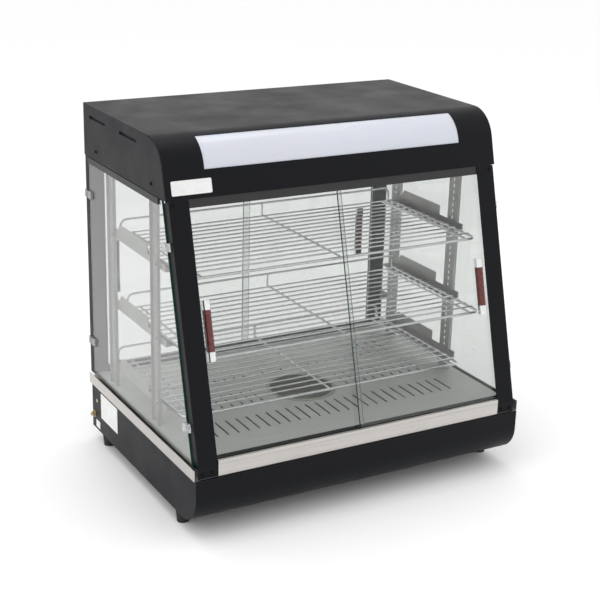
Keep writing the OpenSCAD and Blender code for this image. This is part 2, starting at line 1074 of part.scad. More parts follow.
// Upright plates under the deck that carry the heating elements
module heater_hangers() {
    edge = element_d / 2 + hanger_edge;
    half = element_bend_r + edge;
    color(steel)
        for (x = [-hanger_x, hanger_x], y = element_ys)
            difference() {
                box_between([x, y - half, element_z - edge],
                    [x + hanger_t, y + half, deck_z - sheet]);
                for (side = [-1, 1])
                    rod_x(x - past, x + hanger_t + past, y + side * element_bend_r, element_z,
                        element_d + loose);
            }
}

thermostat_w = 36;
thermostat_deep = 30;
shaft_gap = 0.06;
socket_deep = 12;
bulb_d = 6;
bulb_l = 70;
capillary_d = 2;
capillary_l = 60;

// The thermostat's body with its capillary and sensing bulb, which lie along the rear panel
module thermostat() {
    y1 = base_back_y - sheet;
    y0 = y1 - thermostat_deep;
    half = thermostat_w / 2;
    side_x = knob_x + half;
    bulb_x = side_x + capillary_l;
    line_y = y0 + bulb_d / 2 + loose;
    color("#bdb9ae") {
        difference() {
            box_between([knob_x - half, y0, control_z - half], [side_x, y1, control_z + half]);
            rod_y(knob_x, y1 - socket_deep, y1 + past, control_z, knob_shaft_d + 2 * shaft_gap);
        }
        rod_x(side_x - past, bulb_x + past, line_y, control_z, capillary_d);
        rod_x(bulb_x, bulb_x + bulb_l, line_y, control_z, bulb_d);
    }
}

knob_d = 38;
knob_skirt_t = 5;
knob_body_share = 0.75;
knob_deep = 16;
knob_rib_w = 6;
shaft_in = 10;

// A round knob with a skirt and a finger rib, on a shaft that turns in the thermostat
module thermostat_knob() {
    y0 = base_back_y + 0.8;
    rib_half = knob_d / 2 - 1;
    color("#1d1d1f") {
        rod_y(knob_x, base_back_y - sheet - shaft_in, y0 + past, control_z, knob_shaft_d);
        rod_y(knob_x, y0, y0 + knob_skirt_t, control_z, knob_d);
        rod_y(knob_x, y0, y0 + knob_deep - 2, control_z, knob_body_share * knob_d);
        box_between([knob_x - knob_rib_w / 2, y0, control_z - rib_half],
            [knob_x + knob_rib_w / 2, y0 + knob_deep, control_z + rib_half]);
    }
}

block_size = [48, 18, 16];
block_ways = 4;
block_hole_d = 5;

module terminal_block() {
    x = gland_x - 60;
    y = base_back_y - 40;
    z = foot_h + sheet;
    way = block_size[0] / block_ways;
    color("#e4e0d4")
        difference() {
            translate([x, y, z])
                cube(block_size);
            for (i = [0 : block_ways - 1])
                rod_y(x + (i + 0.5) * way, y - past, y + block_size[1] + past,
                    z + block_size[2] / 2, block_hole_d);
        }
}

rocker_w = 17;
rocker_h = 23;
rocker_room = 0.5;
rocker_end_room = 1.2;
rocker_pivot_y = base_back_y - 3;
rocker_pin_d = 3;
rocker_pin_in = 1.6;
rocker_tilt = 7;
rocker_face = 5.5;
rocker_back = 2.5;
switch_deep = 24;
switch_well = 10;
bezel_t = 2;
bezel_w = 3;

// A rocker switch's housing with its bezel, open in front for the rocker and its pin
module switch_body(x) {
    y1 = base_back_y + bezel_t;
    half_w = switch_cut_w / 2 - loose;
    half_h = switch_cut_h / 2 - loose;
    well_w = rocker_w / 2 + rocker_room;
    well_h = rocker_h / 2 + rocker_end_room;
    pin_x = rocker_w / 2 + rocker_pin_in + loose;
    difference() {
        union() {
            box_between([x - half_w, base_back_y - switch_deep, control_z - half_h],
                [x + half_w, y1, control_z + half_h]);
            box_between([x - half_w - bezel_w, base_back_y, control_z - half_h - bezel_w],
                [x + half_w + bezel_w, y1, control_z + half_h + bezel_w]);
        }
        box_between([x - well_w, base_back_y - switch_well, control_z - well_h],
            [x + well_w, y1 + past, control_z + well_h]);
        rod_x(x - pin_x, x + pin_x, rocker_pivot_y, control_z, rocker_pin_d + 2 * shaft_gap);
    }
}

module switch_bodies() {
    color("#202022")
        for (x = [power_switch_x, lamp_switch_x])
            switch_body(x);
}

// A rocker resting with its lower half pressed in: two faces meet at the pivot's height
module rocker(x) {
    rise = rocker_h / 2 * tan(rocker_tilt);
    half = rocker_h / 2;
    back_half = half - 3;
    pin_x = rocker_w / 2 + rocker_pin_in;
    color("#8c1f1c")
        translate([x, rocker_pivot_y, control_z])
            rotate([-rocker_tilt, 0, 0]) {
                across(rocker_w)
                    polygon([
                        [-rocker_back, -back_half],
                        [rocker_face + rise, -half],
                        [rocker_face, 0],
                        [rocker_face + rise, half],
                        [-rocker_back, back_half]]);
                rod_x(-pin_x, pin_x, 0, 0, rocker_pin_d);
            }
}

indicator_bezel_t = 1.5;
indicator_proud = 3;

module indicator_lamp() {
    lens_y = base_back_y + indicator_proud;
    color("#d8641e") {
        rod_y(indicator_x, base_back_y - 18, lens_y, control_z, indicator_d);
        rod_y(indicator_x, base_back_y, base_back_y + indicator_bezel_t, control_z,
            indicator_d + 4);
        translate([indicator_x, lens_y - 2, control_z])
            sphere(d = indicator_d - 1);
    }
}

gland_bore_d = 8.4;
gland_nut_r = 11;
gland_nut_t = 5;
gland_in = 14;
gland_out = 10;

// The cable gland: a threaded sleeve with a nut on each side of the rear panel
module cable_gland() {
    y0 = base_back_y - gland_in;
    y1 = base_back_y + gland_out;
    color("#1b1b1d")
        difference() {
            union() {
                rod_y(gland_x, y0, y1, gland_z, gland_thread_d);
                for (y = [base_back_y, base_back_y - sheet - gland_nut_t])
                    translate([gland_x, y, gland_z])
                        rotate([-90, 0, 0])
                            hex_nut(gland_nut_r, gland_nut_t);
            }
            rod_y(gland_x, y0 - past, y1 + past, gland_z, gland_bore_d);
        }
}

earth_nut_r = 6.2;
earth_nut_t = 3.5;
earth_washer_d = 14;
earth_washer_t = 1.2;
earth_proud = 8;
earth_in = 12;
side_screw_head_d = 7;
side_screw_head_t = 1.5;

// Equipotential earth stud with its nuts and washer, and the plain screw above it
module earth_terminal() {
    washer_x = -base_x - earth_washer_t;
    color("#b9ad90") {
        rod_x(-base_x - earth_proud, -inside_x + earth_in, earth_y, earth_z, earth_stud_d);
        rod_x(washer_x, -base_x, earth_y, earth_z, earth_washer_d);
        for (x = [washer_x - earth_nut_t + eps, -inside_x])
            translate([x, earth_y, earth_z])
                rotate([0, 90, 0])
                    hex_nut(earth_nut_r, earth_nut_t);
        rod_x(-base_x - side_screw_head_t, -base_x, side_screw_y, side_screw_z,
            side_screw_head_d);
        rod_x(-base_x - eps, -inside_x + 6, side_screw_y, side_screw_z, side_screw_d);
    }
}

plate_t = 0.4;

// Blank rating plate and blank sticker on the left side of the base
module rating_plates() {
    plate = [82, 50.5];
    plate_y = base_back_y - 127;
    plate_z = base_top_z - 55.5;
    sticker = [20, 14.5];
    sticker_y = base_back_y - 38;
    sticker_z = foot_h + 5;
    color("#e3e6ea") {
        box_between([-base_x - plate_t, plate_y, plate_z],
            [-base_x, plate_y + plate[0], plate_z + plate[1]]);
        box_between([-base_x - plate_t, sticker_y, sticker_z],
            [-base_x, sticker_y + sticker[0], sticker_z + sticker[1]]);
    }
}

screw_head_r = 3.4;
screw_crown_r = 2.4;
screw_head_t = 2;
low_screw_l = 4;
top_screw_l = 5;
canopy_screw_l = 6;

// A pan-head screw along +Y, with its head's underside at y = 0
module pan_screw(length) {
    rotate([-90, 0, 0])
        cylinder(d = post_screw_d, h = length);
    rotate([90, 0, 0])
        cylinder(r1 = screw_head_r, r2 = screw_crown_r, h = screw_head_t);
}

module panel_screws() {
    color("#1e1e20")
        both_sides() {
            for (x = post_screw_x)
                translate([x, deck_front_y - post_t, low_screw_z])
                    pan_screw(low_screw_l);
            on_front()
                translate([post_screw_x[1], 0, along_front(top_screw_z)])
                    pan_screw(top_screw_l);
            for (y = canopy_screw_ys)
                translate([canopy_x, y, canopy_screw_z])
                    rotate([0, 0, 90])
                        pan_screw(canopy_screw_l);
        }
}

base_front_panel();
base_side(-1);  // base_side_left
base_side(1);  // base_side_right
base_rear_panel();
feet();
deck_plate();
on_side(-1) side_trim();  // side_trim_left
on_side(1) side_trim();  // side_trim_right
front_trim();
front_lower_track();
front_upper_track();
rear_lower_track();
rear_upper_track();
front_post(-1);  // front_post_left
front_post(1);  // front_post_right
rear_posts();
side_glass(-1);  // side_glass_left
side_glass(1);  // side_glass_right
glass_clips();
glass_top_rails();
canopy_cover();
canopy_side(-1);  // canopy_side_left
canopy_side(1);  // canopy_side_right
canopy_rear_panel();
canopy_ceiling();
light_panel();
lamp_tube();
lamp_holders();
nameplate();
shelf_uprights();
shelf_brackets();
heating_elements();
heater_hangers();
thermostat();
terminal_block();
switch_bodies();
indicator_lamp();
cable_gland();
earth_terminal();
rating_plates();
panel_screws();
front_pane(-1, inner_pane_d);  // front_left_pane
at_front_handle(-1, inner_pane_d) caps();  // front_left_caps
at_front_handle(-1, inner_pane_d) grip();  // front_left_grip
front_pane(1, outer_pane_d);  // front_right_pane
at_front_handle(1, outer_pane_d) caps();  // front_right_caps
at_front_handle(1, outer_pane_d) grip();  // front_right_grip
rear_pane(-1, rear_inner_y);  // rear_left_pane
at_rear_handle(rear_left_handle_x, rear_inner_y) caps();  // rear_left_caps
at_rear_handle(rear_left_handle_x, rear_inner_y) grip();  // rear_left_grip
rear_pane(1, rear_outer_y);  // rear_right_pane
at_rear_handle(rear_right_handle_x, rear_outer_y) caps();  // rear_right_caps
at_rear_handle(rear_right_handle_x, rear_outer_y) grip();  // rear_right_grip
wire_shelf(2);  // shelf_top
wire_shelf(1);  // shelf_middle
wire_shelf(0);  // shelf_bottom
water_pan();
thermostat_knob();
rocker(power_switch_x);  // power_rocker
rocker(lamp_switch_x);  // lamp_rocker
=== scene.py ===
"""Looks for the heated display case: procedural materials, pressed and moulded detail, and a
softly lit white stage. Lengths are in metres in the CAD frame; names ending in _MM are in mm."""
import json
import math

import bmesh
import bpy
from mathutils import Matrix, Vector


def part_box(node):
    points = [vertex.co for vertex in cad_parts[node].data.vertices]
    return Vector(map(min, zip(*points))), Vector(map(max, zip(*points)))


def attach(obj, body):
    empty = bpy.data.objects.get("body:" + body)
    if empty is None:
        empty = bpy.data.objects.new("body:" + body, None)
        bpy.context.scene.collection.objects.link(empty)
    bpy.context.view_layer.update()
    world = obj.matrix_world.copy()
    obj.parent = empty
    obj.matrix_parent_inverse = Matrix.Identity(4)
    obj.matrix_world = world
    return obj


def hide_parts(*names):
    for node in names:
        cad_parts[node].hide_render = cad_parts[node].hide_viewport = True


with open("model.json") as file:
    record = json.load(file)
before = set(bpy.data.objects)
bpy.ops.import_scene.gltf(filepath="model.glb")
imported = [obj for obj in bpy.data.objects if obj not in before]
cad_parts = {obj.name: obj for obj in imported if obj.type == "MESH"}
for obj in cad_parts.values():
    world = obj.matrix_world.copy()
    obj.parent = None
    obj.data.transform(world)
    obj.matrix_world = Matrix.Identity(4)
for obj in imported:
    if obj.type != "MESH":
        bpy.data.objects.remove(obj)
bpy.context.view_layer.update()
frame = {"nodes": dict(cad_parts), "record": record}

NODES = frame["nodes"]
MM = 0.001


# ---------- Materials ----------

class Surface:
    """A procedural material being built. Its patterns are measured in object space, in mm."""

    def __init__(self, name, colour, roughness, **settings):
        self.material = bpy.data.materials.new(name)
        self.material.use_nodes = True
        self.tree = self.material.node_tree
        self.shader = self.tree.nodes["Principled BSDF"]
        self.output = self.tree.nodes["Material Output"]
        self.shader.inputs["Base Color"].default_value = (*colour, 1)
        self.shader.inputs["Roughness"].default_value = roughness
        for socket, value in settings.items():
            self.shader.inputs[socket.replace("_", " ")].default_value = value
        self.normal = None

    def node(self, kind, inputs=None, **settings):
        """A new node with its settings, and its inputs either set or linked."""
        made = self.tree.nodes.new("ShaderNode" + kind)
        for name, value in settings.items():
            setattr(made, name, value)
        for name, value in (inputs or {}).items():
            self.feed(made.inputs[name], value)
        return made

    def feed(self, socket, value):
        """Links the socket to another node's output, or sets its value."""
        if isinstance(value, bpy.types.NodeSocket):
            self.tree.links.new(value, socket)
        else:
            socket.default_value = value

    def place(self, stretch=(1, 1, 1)):
        """Object-space position in mm, squeezed along each axis by the stretch given."""
        scale = tuple(1 / (MM * s) for s in stretch)
        source = self.node("TexCoord").outputs["Object"]
        mapping = self.node("Mapping", {"Vector": source, "Scale": scale})
        return mapping.outputs["Vector"]

    def noise(self, grain_mm, stretch=(1, 1, 1), detail=3.0):
        """Smooth noise whose lumps are about grain_mm across, longer where it is stretched."""
        return self.node("TexNoise", {
            "Vector": self.place(stretch), "Scale": 1 / grain_mm,
            "Detail": detail}).outputs["Fac"]

    def spread(self, value, low, high, start=0.3, end=0.7):
        """The value's middle range, from start to end, mapped to low to high."""
        return self.node("MapRange", {
            "Value": value, "From Min": start, "From Max": end, "To Min": low,
            "To Max": high}).outputs["Result"]

    def maths(self, operation, first, second=0.0):
        """One arithmetic step on two values or outputs."""
        return self.node("Math", {0: first, 1: second}, operation=operation).outputs[0]

    def mix_colour(self, share, first, second):
        """A colour that goes from the first to the second as the share goes from 0 to 1."""
        made = self.node("Mix", data_type="RGBA")
        self.feed(made.inputs[0], share)
        for socket, value in ((6, first), (7, second)):
            ready = value if isinstance(value, bpy.types.NodeSocket) else (*value, 1)
            self.feed(made.inputs[socket], ready)
        return made.outputs[2]

    def bump(self, height, depth_mm, strength=1.0):
        """Adds relief that is depth_mm deep to the surface's normal."""
        inputs = {"Height": height, "Distance": depth_mm * MM, "Strength": strength}
        if self.normal:
            inputs["Normal"] = self.normal
        self.normal = self.node("Bump", inputs).outputs["Normal"]
        self.feed(self.shader.inputs["Normal"], self.normal)

    def facing(self, axis):
        """How squarely the true surface faces an axis, from 0 to 1."""
        geometry = self.node("NewGeometry").outputs["Normal"]
        product = self.node("VectorMath", {0: geometry, 1: axis}, operation="DOT_PRODUCT")
        return self.maths("ABSOLUTE", product.outputs["Value"])

    def edge_wear_and_highlight(self, radius_mm=1.0):
        """A mask that is 1 on sharp outer edges, from the surface's rounded normal. Edges under it
        are painted lighter, partly as wear and partly as a painted highlight.
        """
        rounded = self.node("Bevel", {"Radius": radius_mm * MM}, samples=4)
        true = self.node("NewGeometry").outputs["Normal"]
        product = self.node("VectorMath", {0: rounded.outputs[0], 1: true},
                            operation="DOT_PRODUCT")
        return self.spread(product.outputs["Value"], 1.0, 0.0, start=0.75, end=0.98)

    def set(self, socket, value):
        """Sets or links an input of the main shader."""
        self.feed(self.shader.inputs[socket], value)


COAT_SPECULAR = 0.12
BRUSH_STRETCH = 40


def powder_coat(name, colour, wear_and_highlight_colour, roughness=(0.36, 0.47)):
    """Satin powder coat: a fine orange-peel grain, faint cloudiness and edges painted lighter,
    partly as slight wear and partly as a painted highlight.
    """
    s = Surface(name, colour, roughness[0], Specular_IOR_Level=COAT_SPECULAR)
    cloud = s.noise(grain_mm=70, detail=4)
    grain = s.noise(grain_mm=0.9, detail=2)
    speck = s.noise(grain_mm=0.35, detail=1)
    # edge mask for slight wear and a painted highlight, broken up by noise
    wear_and_highlight = s.maths("MULTIPLY", s.edge_wear_and_highlight(), s.spread(s.noise(grain_mm=6), 0.1, 0.5))
    tinted = s.mix_colour(s.spread(cloud, 0.0, 1.0), colour, tuple(c * 1.08 for c in colour))
    dotted = s.mix_colour(s.spread(speck, 0.0, 0.35, 0.62, 0.8), tinted, wear_and_highlight_colour)
    # edges painted lighter: slight wear and a painted highlight
    s.set("Base Color", s.mix_colour(wear_and_highlight, dotted, wear_and_highlight_colour))
    s.set("Roughness", s.spread(cloud, *roughness))
    s.bump(grain, 0.05, 0.5)
    return s.material


def brushed_metal(name, colour, along, roughness=(0.24, 0.38), smudge=0.12, metallic=1.0):
    """Brushed sheet: fine lines along one axis, streaks of gloss and faint handling smudges."""
    s = Surface(name, colour, roughness[0], Metallic=metallic, Anisotropic=0.5)
    stretch = tuple(BRUSH_STRETCH if axis == along else 1 for axis in "xyz")
    lines = s.noise(grain_mm=0.35, stretch=stretch, detail=2)
    streaks = s.noise(grain_mm=3, stretch=stretch, detail=3)
    smudges = s.noise(grain_mm=45, detail=5)
    gloss = s.maths("ADD", s.spread(streaks, *roughness), s.spread(smudges, 0, smudge))
    s.set("Roughness", gloss)
    dark = tuple(c * 0.86 for c in colour)
    s.set("Base Color", s.mix_colour(s.spread(streaks, 0, 1), dark, colour))
    s.bump(lines, 0.012, 0.6)
    return s.material


def bright_metal(name, colour, roughness=(0.06, 0.2), grain_mm=14):
    """Plated metal: almost a mirror, with a faint waviness and duller patches."""
    s = Surface(name, colour, roughness[0], Metallic=1.0)
    patches = s.noise(grain_mm, detail=4)
    waves = s.noise(grain_mm=5, detail=1)
    s.set("Roughness", s.spread(patches, *roughness))
    s.set("Base Color", s.mix_colour(
        s.spread(patches, 0, 1), tuple(c * 0.9 for c in colour), colour))
    s.bump(waves, 0.02, 0.35)
    return s.material


def moulded(name, colour, roughness=(0.4, 0.55), grain_mm=0.5, coat=0.0):
    """Moulded plastic or rubber: a fine spark grain and slight unevenness in colour."""
    s = Surface(name, colour, roughness[0], Coat_Weight=coat, Coat_Roughness=0.08)
    grain = s.noise(grain_mm, detail=2)
    cloud = s.noise(grain_mm=18, detail=3)
    s.set("Roughness", s.spread(cloud, *roughness))
    s.set("Base Color", s.mix_colour(
        s.spread(cloud, 0, 1), tuple(c * 0.85 for c in colour), colour))
    s.bump(grain, 0.03, 0.5)
    return s.material


GLASS_SHADOW_TINT = (0.95, 0.96, 0.955)
GLASS_EDGE_CLEARNESS = 0.35


def float_glass(name, face, tint=(0.80, 0.815, 0.805), edge=(0.02, 0.085, 0.065)):
    """Clear float glass: light passes straight through it, its cut edges are deep green, and a
    thin uneven film on its faces takes a little light. face is the direction that it faces."""
    s = Surface(name, tint, 0.02, Transmission_Weight=1.0, IOR=1.45)
    film = s.noise(grain_mm=60, detail=5)
    s.set("Roughness", s.spread(film, 0.0, 0.03))
    edges = s.spread(s.facing(face), 1.0, 0.0, start=0.55, end=0.8)
    edge_shader = s.node("BsdfPrincipled", {
        "Base Color": (*edge, 1), "Transmission Weight": GLASS_EDGE_CLEARNESS})
    chips = s.noise(grain_mm=1.2, detail=4)
    s.feed(edge_shader.inputs["Roughness"], s.spread(chips, 0.08, 0.3))
    clear = s.node("BsdfTransparent", {"Color": (*GLASS_SHADOW_TINT, 1)}).outputs[0]
    rays = s.node("LightPath")
    unseen = s.maths("MAXIMUM", rays.outputs["Is Shadow Ray"], rays.outputs["Is Diffuse Ray"])
    sheet = s.node("MixShader", {0: unseen, 1: s.shader.outputs[0], 2: clear}).outputs[0]
    whole = s.node("MixShader", {0: edges, 1: sheet, 2: edge_shader.outputs[0]}).outputs[0]
    s.feed(s.output.inputs["Surface"], whole)
    return s.material


def clear_plastic(name, colour):
    """Clear moulded plastic with faint flow marks."""
    s = Surface(name, colour, 0.1, Transmission_Weight=0.85, IOR=1.49)
    flow = s.noise(grain_mm=4, stretch=(3, 1, 1), detail=3)
    s.set("Roughness", s.spread(flow, 0.08, 0.28))
    s.bump(flow, 0.05, 0.4)
    return s.material


def opal_acrylic(name, colour):
    """White translucent acrylic with a glossy skin and a little unevenness under it."""
    s = Surface(name, colour, 0.22, Coat_Weight=0.6, Coat_Roughness=0.05,
                Subsurface_Weight=0.25, Subsurface_Scale=0.004)
    cloud = s.noise(grain_mm=50, stretch=(4, 1, 1), detail=3)
    s.set("Base Color", s.mix_colour(
        s.spread(cloud, 0, 1), tuple(c * 0.96 for c in colour), colour))
    s.set("Roughness", s.spread(cloud, 0.18, 0.3))
    s.bump(s.noise(grain_mm=9, detail=2), 0.03, 0.3)
    return s.material


def blank_label(name, paper, shade):
    """A label with nothing on it: pale satin film, a little uneven and yellowed in patches."""
    s = Surface(name, paper, 0.4)
    fibre = s.noise(grain_mm=1.5, detail=3)
    patches = s.noise(grain_mm=14, detail=3)
    aged = s.mix_colour(s.spread(patches, 0, 0.35), paper, shade)
    s.set("Base Color", s.mix_colour(s.spread(fibre, 0, 0.15), aged, shade))
    s.set("Roughness", s.spread(fibre, 0.3, 0.45))
    s.bump(fibre, 0.01, 0.3)
    return s.material


def tinted_heater(name, colour):
    """Heater sheath: dull metal with straw and blue heat tints in bands."""
    s = Surface(name, colour, 0.45, Metallic=1.0)
    band = s.noise(grain_mm=35, stretch=(3, 1, 1), detail=2)
    straw = s.mix_colour(s.spread(band, 0, 1), colour, (0.36, 0.27, 0.13))
    s.set("Base Color", s.mix_colour(s.spread(band, 0, 1, 0.55, 0.75), straw, (0.12, 0.14, 0.2)))
    s.set("Roughness", s.spread(s.noise(grain_mm=3), 0.38, 0.6))
    s.bump(s.noise(grain_mm=0.8), 0.03, 0.5)
    return s.material


FRONT_LEAN = math.radians(15)
FRONT_FACING = (0, -math.cos(FRONT_LEAN), math.sin(FRONT_LEAN))
BLACK = (0.0048, 0.0052, 0.0072)
# lighter colour for random specks, and for edges painted lighter as wear and as a painted
# highlight
WEAR_AND_HIGHLIGHT_COLOUR = (0.032, 0.033, 0.037)

MATERIALS = {
    "black_coat": powder_coat("black_powder_coat", BLACK, WEAR_AND_HIGHLIGHT_COLOUR),
    "dark_grey_rail": powder_coat("dark_grey_coat", (0.045, 0.046, 0.048), (0.1, 0.1, 0.1)),
    "stainless": brushed_metal("brushed_stainless", (0.60, 0.575, 0.55), "x"),
    "deck_sheet": brushed_metal("pressed_deck_sheet", (0.60, 0.61, 0.59), "x", (0.42, 0.56),
                                metallic=0.5),
    "galvanised": brushed_metal("zinc_sheet", (0.52, 0.515, 0.505), "z", (0.36, 0.52),
                                metallic=0.8),
    "clear_plastic": clear_plastic("clear_clip_plastic", (0.93, 0.96, 0.96)),
    "diffuser": opal_acrylic("opal_acrylic", (0.60, 0.62, 0.69)),
    "chrome_wire": bright_metal("chromed_wire", (0.80, 0.81, 0.82), (0.10, 0.26)),
    "chrome_cap": bright_metal("chrome_cap", (0.86, 0.86, 0.87), (0.04, 0.14)),
    "red_grip": moulded("dark_red_grip", (0.105, 0.012, 0.009), (0.2, 0.32), 1.2, coat=0.35),
    "black_track": moulded("black_track_plastic", (0.012, 0.012, 0.013)),
    "foot_rubber": moulded("foot_rubber", (0.012, 0.012, 0.012), (0.65, 0.85), 0.8),
    "lamp_glass": opal_acrylic("opal_lamp_glass", (0.86, 0.86, 0.83)),
    "white_plastic": moulded("white_moulding", (0.74, 0.74, 0.71), (0.35, 0.5)),
    "blank_label": blank_label("blank_label_film", (0.80, 0.81, 0.82), (0.62, 0.60, 0.55)),
    "heater_sheath": tinted_heater("heater_sheath", (0.26, 0.23, 0.21)),
    "ceramic": moulded("glazed_ceramic", (0.72, 0.69, 0.6), (0.2, 0.3), 2.0, coat=0.5),
    "amber_lens": moulded("amber_lens", (0.65, 0.17, 0.02), (0.1, 0.18), 3.0, coat=0.8),
    "black_plastic": moulded("black_moulding", (0.014, 0.014, 0.015), (0.38, 0.5)),
    "red_rocker": moulded("red_rocker", (0.35, 0.025, 0.02), (0.25, 0.35), 0.6, coat=0.3),
    "pan_steel": brushed_metal("drawn_pan_steel", (0.42, 0.42, 0.37), "z", (0.3, 0.45)),
    "earth_brass": bright_metal("earth_terminal_metal", (0.66, 0.56, 0.36), (0.2, 0.4), 3),
    "screw_black": powder_coat("black_zinc", (0.002, 0.002, 0.003), (0.012, 0.012, 0.013),
                               (0.22, 0.36)),
}
GLASS_FACING = {
    "side_glass_left": (1, 0, 0), "side_glass_right": (1, 0, 0),
    "front_left_pane": FRONT_FACING, "front_right_pane": FRONT_FACING,
    "rear_left_pane": (0, 1, 0), "rear_right_pane": (0, 1, 0),
}


def finish_cad_nodes():
    """Gives every carried-over CAD node the material of its slot in the record."""
    slots = {part["node"]: part["material_slot"] for part in frame["record"]["subparts"]}
    for name, node in NODES.items():
        if name in GLASS_FACING:
            material = float_glass("glass_" + name, GLASS_FACING[name])
        else:
            material = MATERIALS[slots[name]]
        node.data.materials.clear()
        node.data.materials.append(material)


# ---------- Rounded edges ----------

SHARP_ANGLE = math.radians(35)
EDGE_RADIUS_MM = {
    "front_left_caps": 1.6, "front_right_caps": 1.6, "rear_left_caps": 1.6, "rear_right_caps": 1.6,
    "front_left_grip": 0.5, "front_right_grip": 0.5, "rear_left_grip": 0.5, "rear_right_grip": 0.5,
    "feet": 1.2, "glass_clips": 0.5, "nameplate": 0.25, "thermostat_knob": 0.8,
    "power_rocker": 0.5, "lamp_rocker": 0.5, "switch_bodies": 0.4, "cable_gland": 0.5,
    "terminal_block": 0.5, "base_side_left": 0.35, "base_side_right": 0.35,
    "base_front_panel": 0.35, "base_rear_panel": 0.3, "canopy_cover": 0.35,
    "canopy_side_left": 0.35, "canopy_side_right": 0.35, "side_trim_left": 0.35,
    "side_trim_right": 0.35, "front_trim": 0.3, "front_post_left": 0.35, "front_post_right": 0.35,
    "rear_posts": 0.4, "front_upper_track": 0.4, "front_lower_track": 0.4, "side_glass_left": 0.4,
    "side_glass_right": 0.4, "front_left_pane": 0.4, "front_right_pane": 0.4,
    "rear_left_pane": 0.4, "rear_right_pane": 0.4, "deck_plate": 0.25,
}


def round_edges():
    """Rounds the sharp edges of the CAD nodes listed, inwards, by a modifier on each."""
    for name, radius in EDGE_RADIUS_MM.items():
        bevel = NODES[name].modifiers.new("rounded_edges", "BEVEL")
        bevel.width = radius * MM
        bevel.segments = 2
        bevel.limit_method = "ANGLE"
        bevel.angle_limit = SHARP_ANGLE
        bevel.use_clamp_overlap = True


# ---------- Pieces in mesh ----------

CASE = "case"
STEEL_T_MM = 0.8
SLOT_GAP_MM = 0.06

# The canopy's side louvres: the middle of each slot, and its length and height
SIDE_LOUVRE_YS_MM = (174, 33)
SIDE_LOUVRE_Z_MM = 631
SIDE_LOUVRE_MM = (76, 6)
PRESSED_DEPTH_MM = 3.6
PRESSED_STEPS = (56, 10)
END_SHARE = 0.995

# The deck's slots: columns are counted in half pitches from the middle
DECK_Z_MM = 132
DECK_PITCH_MM = 20.3
DECK_COLUMNS = 26
LONG_SLOT_MM = (-106.5, 57)
SHORT_SLOT_MM = 13
REAR_ROW_MM = 87
CORNER_ROWS_MM = (24.5, 49)
CORNER_COLUMN = 21
MIDDLE_ROWS_MM = (-23, -2.5, 18)
MIDDLE_COLUMN = 9
LIP_REACH_MM = 1.3
LIP_RISE_MM = 1.0
LIP_END_POWER = 8
LIP_STEPS = (16, 6)

# Screw heads: the cross is given as half an arm's width, its reach and its depth
HEAD_R_MM = 3.4
HEAD_T_MM = 2.0
HEAD_DOME_POWER = 2.6
HEAD_TURNS = 48
HEAD_RINGS = 16
CROSS_MM = (0.5, 1.75, 1.0)
ACROSS = Vector((0, 0.1, 1))

# Where the screws on the right sit, in mm, and where they face; the left's are mirrored
SCREWS = [
    ((295, -237.21, 122), (0, -1, 0)), ((313.5, -237.21, 122), (0, -1, 0)),
    ((313.5, -125.27, 550), FRONT_FACING),
    ((325.5, 184, 573), (1, 0, 0)), ((325.5, -63.39, 573), (1, 0, 0)),
]


def add_piece(name, shells, slot):
    """One piece of the fixed case, made of closed shells of points in mm and their faces."""
    mesh = bpy.data.meshes.new(name)
    points, faces = [], []
    for shell_points, shell_faces in shells:
        faces += [[len(points) + corner for corner in face] for face in shell_faces]
        points += [Vector(point) * MM for point in shell_points]
    mesh.from_pydata(points, [], faces)
    shape = bmesh.new()
    shape.from_mesh(mesh)
    bmesh.ops.recalc_face_normals(shape, faces=shape.faces)
    shape.to_mesh(mesh)
    shape.free()
    mesh.shade_smooth()
    mesh.materials.append(MATERIALS[slot])
    piece = bpy.data.objects.new(name, mesh)
    bpy.context.scene.collection.objects.link(piece)
    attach(piece, CASE)
    return piece


def closed_sheet(top, back):
    """A closed shell from two grids of points of the same size, joined round their borders."""
    rows, columns = len(top), len(top[0])
    count = rows * columns
    faces = []
    for row in range(rows - 1):
        for column in range(columns - 1):
            corner = row * columns + column
            quad = [corner, corner + 1, corner + columns + 1, corner + columns]
            faces.append(quad)
            faces.append([count + index for index in reversed(quad)])
    border = list(range(columns))
    border += [row * columns + columns - 1 for row in range(1, rows)]
    border += [(rows - 1) * columns + column for column in range(columns - 2, -1, -1)]
    border += [row * columns for row in range(rows - 2, 0, -1)]
    for here, after in zip(border, border[1:] + border[:1]):
        faces.append([here, count + here, count + after, after])
    return [point for grid in (top, back) for row in grid for point in row], faces


def steps(low, high, count):
    """Evenly spaced values from low to high, both included."""
    return [low + (high - low) * step / count for step in range(count + 1)]


def pressed_slot(side, face_x, y):
    """The pressing that fills one slot of the canopy's side: its rim is flush and it is dished."""
    length, height = SIDE_LOUVRE_MM
    radius = height / 2 - SLOT_GAP_MM
    straight = (length - height) / 2
    end = straight + radius * END_SHARE
    long_steps, high_steps = PRESSED_STEPS
    outer, inner = [], []
    for along in steps(-1, 1, long_steps):
        past = max(abs(along) * end - straight, 0)
        half = math.sqrt(radius ** 2 - past ** 2)
        for grid, behind in ((outer, 0), (inner, STEEL_T_MM)):
            row = []
            for across in steps(-1, 1, high_steps):
                sunk = PRESSED_DEPTH_MM * half / radius * (1 - across * across)
                row.append((side * (face_x - sunk - behind), y + along * end,
                            SIDE_LOUVRE_Z_MM + across * half))
            grid.append(row)
    return closed_sheet(outer, inner)


def add_side_louvres():
    for name, side in (("left", -1), ("right", 1)):
        low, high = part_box("canopy_side_" + name)
        face_x = max(abs(low[0]), abs(high[0])) / MM
        shells = [pressed_slot(side, face_x, y) for y in SIDE_LOUVRE_YS_MM]
        add_piece("side_louvre_pressings_" + name, shells, "black_coat")


